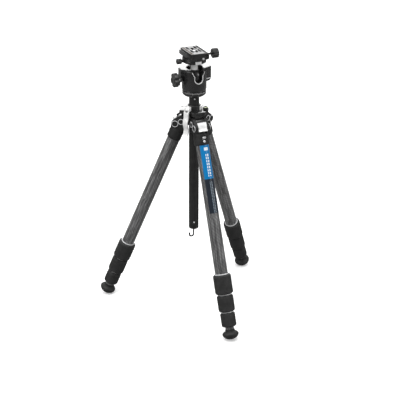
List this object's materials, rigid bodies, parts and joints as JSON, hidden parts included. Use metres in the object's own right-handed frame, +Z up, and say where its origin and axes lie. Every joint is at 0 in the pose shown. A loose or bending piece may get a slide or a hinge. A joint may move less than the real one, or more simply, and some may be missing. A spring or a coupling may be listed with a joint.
{
  "type": "photo tripod with ball head",
  "caption": "Folding photo tripod with telescoping carbon legs, a sliding centre column, a ball head and a panning quick-release clamp with its camera plate.",
  "frame": {"origin": "on the floor, under the centre of the tripod's bounding box as it stands with its legs spread; the column axis is 50.4 mm towards +Y from there", "axes": "+Z up along the centre column; -Y towards the front foot; +X towards the camera clamp's tightening knob"},
  "size_m": [0.3852, 0.3386, 0.5993],
  "materials": {
    "carbon": "woven carbon fibre, satin clear coat",
    "grip_rubber": "matte ribbed grip",
    "foot_rubber": "matte",
    "anodised": "black anodised, satin to gloss",
    "matte_black": "black, matte",
    "silver": "satin",
    "steel": "polished",
    "bush_plastic": "matte",
    "vial": "clear, tinted liquid"
  },
  "bodies": {
    "spider": {"spider": "anodised", "column_bush": "bush_plastic", "clamp_band": "silver", "level_ring": "anodised", "level_vial": "vial"},
    "front_leg": {"front_shoulder": "matte_black", "front_pivot_bolt": "anodised", "front_tube_1": "carbon"},
    "front_angle_lock": {"front_angle_lock": "silver"},
    "front_lock_1": {"front_twist_lock_1": "grip_rubber"},
    "front_section_2": {"front_tube_2": "carbon"},
    "front_lock_2": {"front_twist_lock_2": "grip_rubber"},
    "front_section_3": {"front_tube_3": "carbon"},
    "front_lock_3": {"front_twist_lock_3": "grip_rubber"},
    "front_section_4": {"front_tube_4": "carbon", "front_foot": "foot_rubber"},
    "right_leg": {"right_shoulder": "matte_black", "right_pivot_bolt": "anodised", "right_tube_1": "carbon"},
    "right_angle_lock": {"right_angle_lock": "silver"},
    "right_lock_1": {"right_twist_lock_1": "grip_rubber"},
    "right_section_2": {"right_tube_2": "carbon"},
    "right_lock_2": {"right_twist_lock_2": "grip_rubber"},
    "right_section_3": {"right_tube_3": "carbon"},
    "right_lock_3": {"right_twist_lock_3": "grip_rubber"},
    "right_section_4": {"right_tube_4": "carbon", "right_foot": "foot_rubber"},
    "left_leg": {"left_shoulder": "matte_black", "left_pivot_bolt": "anodised", "left_tube_1": "carbon"},
    "left_angle_lock": {"left_angle_lock": "silver"},
    "left_lock_1": {"left_twist_lock_1": "grip_rubber"},
    "left_section_2": {"left_tube_2": "carbon"},
    "left_lock_2": {"left_twist_lock_2": "grip_rubber"},
    "left_section_3": {"left_tube_3": "carbon"},
    "left_lock_3": {"left_twist_lock_3": "grip_rubber"},
    "left_section_4": {"left_tube_4": "carbon", "left_foot": "foot_rubber"},
    "column_lever": {"column_lever": "silver"},
    "column": {"column_tube": "matte_black", "upper_set_screw": "steel", "lower_set_screw": "steel", "column_plate": "anodised", "head_stud": "steel", "column_cap": "matte_black", "panning_base": "anodised"},
    "hook": {"ballast_hook": "anodised"},
    "head": {"head_housing": "anodised", "ball_cup": "bush_plastic"},
    "ball_lock_knob": {"ball_lock_knob": "anodised"},
    "base_pan_knob": {"base_pan_knob": "anodised"},
    "ball": {"ball": "anodised"},
    "neck": {"neck": "silver", "clamp_base": "anodised"},
    "clamp_pan_knob": {"clamp_pan_knob": "anodised"},
    "clamp": {"clamp_body": "anodised"},
    "jaw": {"clamp_jaw": "anodised"},
    "clamp_knob": {"clamp_knob": "anodised"},
    "plate": {"camera_plate": "anodised"},
    "camera_screw": {"camera_screw": "steel"}
  },
  "joints": [
    {"name": "front_leg_hinge", "type": "hinge", "parent": "spider", "child": "front_leg", "pos_m": [0, 0.02393, 0.44237], "axis": [-1, 0, 0], "range_deg": [-22.3, 57.7]},
    {"name": "front_angle_lock_hinge", "type": "hinge", "parent": "front_leg", "child": "front_angle_lock", "pos_m": [0, 0.0105, 0.43729], "axis": [1, 0, 0], "range_deg": [0, 28], "stiffness_Nm_per_rad": 0.08, "springref_deg": -8.59},
    {"name": "front_slide_2", "type": "slide", "parent": "front_leg", "child": "front_section_2", "axis": [0, -0.3795, -0.9252], "range_m": [0, 0.235]},
    {"name": "front_slide_3", "type": "slide", "parent": "front_section_2", "child": "front_section_3", "axis": [0, -0.3795, -0.9252], "range_m": [0, 0.2756]},
    {"name": "front_slide_4", "type": "slide", "parent": "front_section_3", "child": "front_section_4", "axis": [0, -0.3795, -0.9252], "range_m": [0, 0.3094]},
    {"name": "right_leg_hinge", "type": "hinge", "parent": "spider", "child": "right_leg", "pos_m": [0.02295, 0.06368, 0.44237], "axis": [0.5, -0.866, 0], "range_deg": [-22.3, 57.7]},
    {"name": "right_angle_lock_hinge", "type": "hinge", "parent": "right_leg", "child": "right_angle_lock", "pos_m": [0.03458, 0.0704, 0.43729], "axis": [-0.5, 0.866, 0], "range_deg": [0, 28], "stiffness_Nm_per_rad": 0.08, "springref_deg": -8.59},
    {"name": "right_slide_2", "type": "slide", "parent": "right_leg", "child": "right_section_2", "axis": [0.3286, 0.1897, -0.9252], "range_m": [0, 0.235]},
    {"name": "right_slide_3", "type": "slide", "parent": "right_section_2", "child": "right_section_3", "axis": [0.3286, 0.1897, -0.9252], "range_m": [0, 0.2756]},
    {"name": "right_slide_4", "type": "slide", "parent": "right_section_3", "child": "right_section_4", "axis": [0.3286, 0.1897, -0.9252], "range_m": [0, 0.3094]},
    {"name": "left_leg_hinge", "type": "hinge", "parent": "spider", "child": "left_leg", "pos_m": [-0.02295, 0.06368, 0.44237], "axis": [0.5, 0.866, 0], "range_deg": [-22.3, 57.7]},
    {"name": "left_angle_lock_hinge", "type": "hinge", "parent": "left_leg", "child": "left_angle_lock", "pos_m": [-0.03458, 0.0704, 0.43729], "axis": [-0.5, -0.866, 0], "range_deg": [0, 28], "stiffness_Nm_per_rad": 0.08, "springref_deg": -8.59},
    {"name": "left_slide_2", "type": "slide", "parent": "left_leg", "child": "left_section_2", "axis": [-0.3286, 0.1897, -0.9252], "range_m": [0, 0.235]},
    {"name": "left_slide_3", "type": "slide", "parent": "left_section_2", "child": "left_section_3", "axis": [-0.3286, 0.1897, -0.9252], "range_m": [0, 0.2756]},
    {"name": "left_slide_4", "type": "slide", "parent": "left_section_3", "child": "left_section_4", "axis": [-0.3286, 0.1897, -0.9252], "range_m": [0, 0.3094]},
    {"name": "column_slide", "type": "slide", "parent": "spider", "child": "column", "axis": [0, 0, 1], "range_m": [-0.018, 0.236]},
    {"name": "lever_hinge", "type": "hinge", "parent": "spider", "child": "column_lever", "pos_m": [-0.02122, 0.03818, 0.47247], "axis": [-0.5, 0.866, 0], "range_deg": [0, 100]},
    {"name": "hook_swivel", "type": "hinge", "parent": "column", "child": "hook", "pos_m": [0, 0.05043, 0.17794], "axis": [0, 0, 1], "continuous": true},
    {"name": "head_pan", "type": "hinge", "parent": "column", "child": "head", "pos_m": [0, 0.05043, 0.51294], "axis": [0, 0, 1], "continuous": true},
    {"name": "ball_lock_turn", "type": "hinge", "parent": "head", "child": "ball_lock_knob", "pos_m": [-0.038, 0.05043, 0.53794], "axis": [-1, 0, 0], "range_deg": [0, 360]},
    {"name": "base_pan_turn", "type": "hinge", "parent": "head", "child": "base_pan_knob", "pos_m": [0, 0.08043, 0.51994], "axis": [0, 1, 0], "range_deg": [0, 360]},
    {"name": "ball_roll", "type": "hinge", "parent": "head", "child": "ball", "pos_m": [0, 0.05043, 0.54094], "axis": [0, 1, 0], "range_deg": [-14, 14]},
    {"name": "ball_pitch", "type": "hinge", "parent": "ball", "child": "neck", "pos_m": [0, 0.05043, 0.54094], "axis": [1, 0, 0], "range_deg": [-16, 90]},
    {"name": "clamp_pan_turn", "type": "hinge", "parent": "neck", "child": "clamp_pan_knob", "pos_m": [-0.034, 0.05043, 0.57834], "axis": [-1, 0, 0], "range_deg": [0, 360]},
    {"name": "clamp_pan", "type": "hinge", "parent": "neck", "child": "clamp", "pos_m": [0, 0.05043, 0.58493], "axis": [0, 0, 1], "continuous": true},
    {"name": "jaw_slide", "type": "slide", "parent": "clamp", "child": "jaw", "axis": [1, 0, 0], "range_m": [0, 0.0045]},
    {"name": "clamp_knob_turn", "type": "hinge", "parent": "jaw", "child": "clamp_knob", "pos_m": [0.048, 0.05043, 0.58713], "axis": [1, 0, 0], "range_deg": [0, 1085]},
    {"name": "plate_slide", "type": "slide", "parent": "clamp", "child": "plate", "axis": [0, 1, 0], "range_m": [-0.02, 0.02]},
    {"name": "camera_screw_turn", "type": "hinge", "parent": "plate", "child": "camera_screw", "pos_m": [0, 0.05043, 0.59493], "axis": [0, 0, 1], "continuous": true},
    {"name": "front_twist_1", "type": "hinge", "parent": "front_leg", "child": "front_lock_1", "pos_m": [0, -0.10964, 0.1167], "axis": [0, -0.3795, -0.9252], "range_deg": [0, 100]},
    {"name": "front_twist_2", "type": "hinge", "parent": "front_section_2", "child": "front_lock_2", "pos_m": [0, -0.12694, 0.07451], "axis": [0, -0.3795, -0.9252], "range_deg": [0, 100]},
    {"name": "front_twist_3", "type": "hinge", "parent": "front_section_3", "child": "front_lock_3", "pos_m": [0, -0.14166, 0.03861], "axis": [0, -0.3795, -0.9252], "range_deg": [0, 100]},
    {"name": "right_twist_1", "type": "hinge", "parent": "right_leg", "child": "right_lock_1", "pos_m": [0.13862, 0.13046, 0.1167], "axis": [0.3286, 0.1897, -0.9252], "range_deg": [0, 100]},
    {"name": "right_twist_2", "type": "hinge", "parent": "right_section_2", "child": "right_lock_2", "pos_m": [0.15361, 0.13912, 0.07451], "axis": [0.3286, 0.1897, -0.9252], "range_deg": [0, 100]},
    {"name": "right_twist_3", "type": "hinge", "parent": "right_section_3", "child": "right_lock_3", "pos_m": [0.16636, 0.14648, 0.03861], "axis": [0.3286, 0.1897, -0.9252], "range_deg": [0, 100]},
    {"name": "left_twist_1", "type": "hinge", "parent": "left_leg", "child": "left_lock_1", "pos_m": [-0.13862, 0.13046, 0.1167], "axis": [-0.3286, 0.1897, -0.9252], "range_deg": [0, 100]},
    {"name": "left_twist_2", "type": "hinge", "parent": "left_section_2", "child": "left_lock_2", "pos_m": [-0.15361, 0.13912, 0.07451], "axis": [-0.3286, 0.1897, -0.9252], "range_deg": [0, 100]},
    {"name": "left_twist_3", "type": "hinge", "parent": "left_section_3", "child": "left_lock_3", "pos_m": [-0.16636, 0.14648, 0.03861], "axis": [-0.3286, 0.1897, -0.9252], "range_deg": [0, 100]}
  ],
  "couplings": [
    {"joint": "clamp_knob_turn", "follows": "jaw_slide", "rad_per_m": 4188.8}
  ]
}
